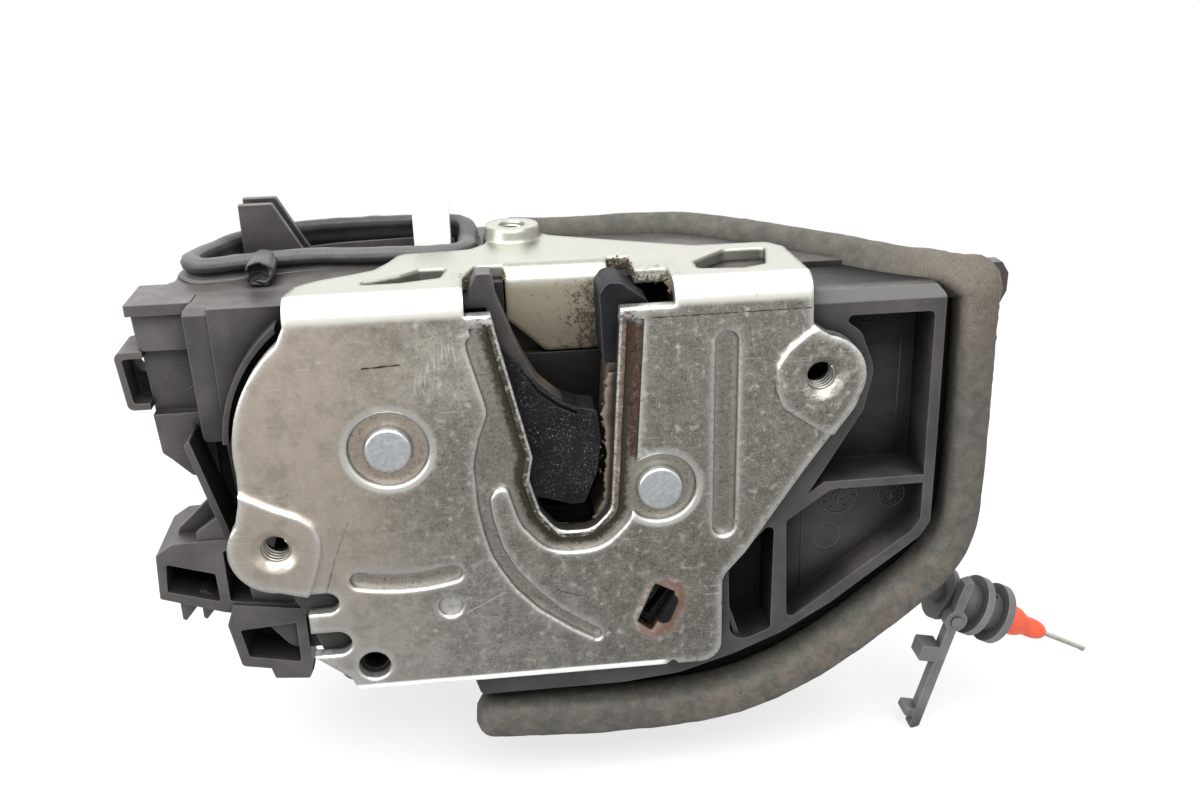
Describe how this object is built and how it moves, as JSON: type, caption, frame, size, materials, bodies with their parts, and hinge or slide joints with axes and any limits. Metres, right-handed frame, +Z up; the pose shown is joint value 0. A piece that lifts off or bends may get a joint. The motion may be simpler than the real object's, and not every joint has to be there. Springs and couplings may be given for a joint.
{
  "type": "car door lock",
  "caption": "Car door lock: folded steel face plate with striker slot, turning catch and pawl, plastic carrier and housing with motor drive, foam seals and a cable end.",
  "frame": {"origin": "centre of the seated striker on the plane of the face plate's front", "axes": "+X right and +Z up seen from the front, +Y into the door; the striker enters along -Z"},
  "size_m": [0.1889, 0.0607, 0.1102],
  "materials": {
    "plate_steel": "zinc plated, worn",
    "bare_steel": "satin",
    "rivet_steel": "satin",
    "spring_steel": "satin",
    "black_plastic": "matt, mould grain",
    "jacket_plastic": "satin",
    "seal_foam": "matt foam skin",
    "bumper_rubber": "matt",
    "white_plastic": "satin",
    "red_sleeve": "satin",
    "motor_can": "satin",
    "board": "satin",
    "pin_brass": "tinned",
    "gear_plastic": "satin"
  },
  "bodies": {
    "frame": {"latch_plate": "plate_steel", "backing_plate": "bare_steel", "catch_pivot": "rivet_steel", "pawl_pivot": "rivet_steel", "catch_spring": "spring_steel", "pawl_spring": "spring_steel", "slot_buffer": "bumper_rubber", "slot_liner": "bumper_rubber", "latch_carrier": "black_plastic", "lock_housing": "black_plastic", "rear_cover": "black_plastic", "housing_screws": "bare_steel", "motor": "motor_can", "circuit_plate": "board", "catch_switch": "jacket_plastic", "pawl_switch": "jacket_plastic", "contact_pins": "pin_brass", "rod_guide": "black_plastic", "lever_guard": "black_plastic", "door_seal": "seal_foam", "loop_seal": "seal_foam", "seal_stub": "seal_foam", "corner_clip": "black_plastic", "cable_conduit": "jacket_plastic", "cable_fitting": "black_plastic", "cable_sleeve": "red_sleeve", "release_wire": "bare_steel"},
    "catch": {"catch_core": "bare_steel", "catch_jacket": "jacket_plastic"},
    "pawl": {"pawl_core": "bare_steel", "pawl_jacket": "jacket_plastic"},
    "rotor": {"emergency_rotor": "jacket_plastic"},
    "worm": {"motor_worm": "bare_steel"},
    "wheel": {"worm_wheel": "gear_plastic"},
    "slider": {"lock_slider": "gear_plastic"},
    "release": {"release_lever": "bare_steel"},
    "inside": {"inside_lever": "white_plastic"},
    "lid": {"fitting_lid": "black_plastic"}
  },
  "joints": [
    {"name": "catch_turn", "type": "hinge", "parent": "frame", "child": "catch", "pos_m": [-0.0324, 0, 0.0114], "axis": [0, 1, 0], "range_deg": [0, 64]},
    {"name": "pawl_turn", "type": "hinge", "parent": "frame", "child": "pawl", "pos_m": [0.015, 0, 0.0005], "axis": [0, 1, 0], "range_deg": [0, 15]},
    {"name": "rotor_turn", "type": "hinge", "parent": "frame", "child": "rotor", "pos_m": [0.0143, 0, -0.0247], "axis": [0, 1, 0], "range_deg": [0, 60]},
    {"name": "wheel_turn", "type": "hinge", "parent": "frame", "child": "wheel", "pos_m": [-0.004, 0, -0.0042], "axis": [0, 1, 0], "range_deg": [0, 60]},
    {"name": "worm_turn", "type": "hinge", "parent": "frame", "child": "worm", "pos_m": [0, 0.033, -0.02], "axis": [1, 0, 0], "range_deg": [0, 2160]},
    {"name": "lock_slide", "type": "slide", "parent": "frame", "child": "slider", "axis": [1, 0, 0], "range_m": [0, 0.0085]},
    {"name": "release_turn", "type": "hinge", "parent": "frame", "child": "release", "pos_m": [0.034, 0, 0.01], "axis": [0, 1, 0], "range_deg": [0, 14]},
    {"name": "inside_turn", "type": "hinge", "parent": "frame", "child": "inside", "pos_m": [-0.0234, 0, 0.024], "axis": [0, -1, 0], "range_deg": [0, 18]},
    {"name": "lid_turn", "type": "hinge", "parent": "frame", "child": "lid", "pos_m": [0.0767, 0, -0.0382], "axis": [0, -1, 0], "range_deg": [0, 30]}
  ],
  "couplings": [
    {"joint": "worm_turn", "follows": "wheel_turn", "ratio": 36},
    {"joint": "lock_slide", "follows": "wheel_turn", "m_per_rad": 0.008}
  ]
}
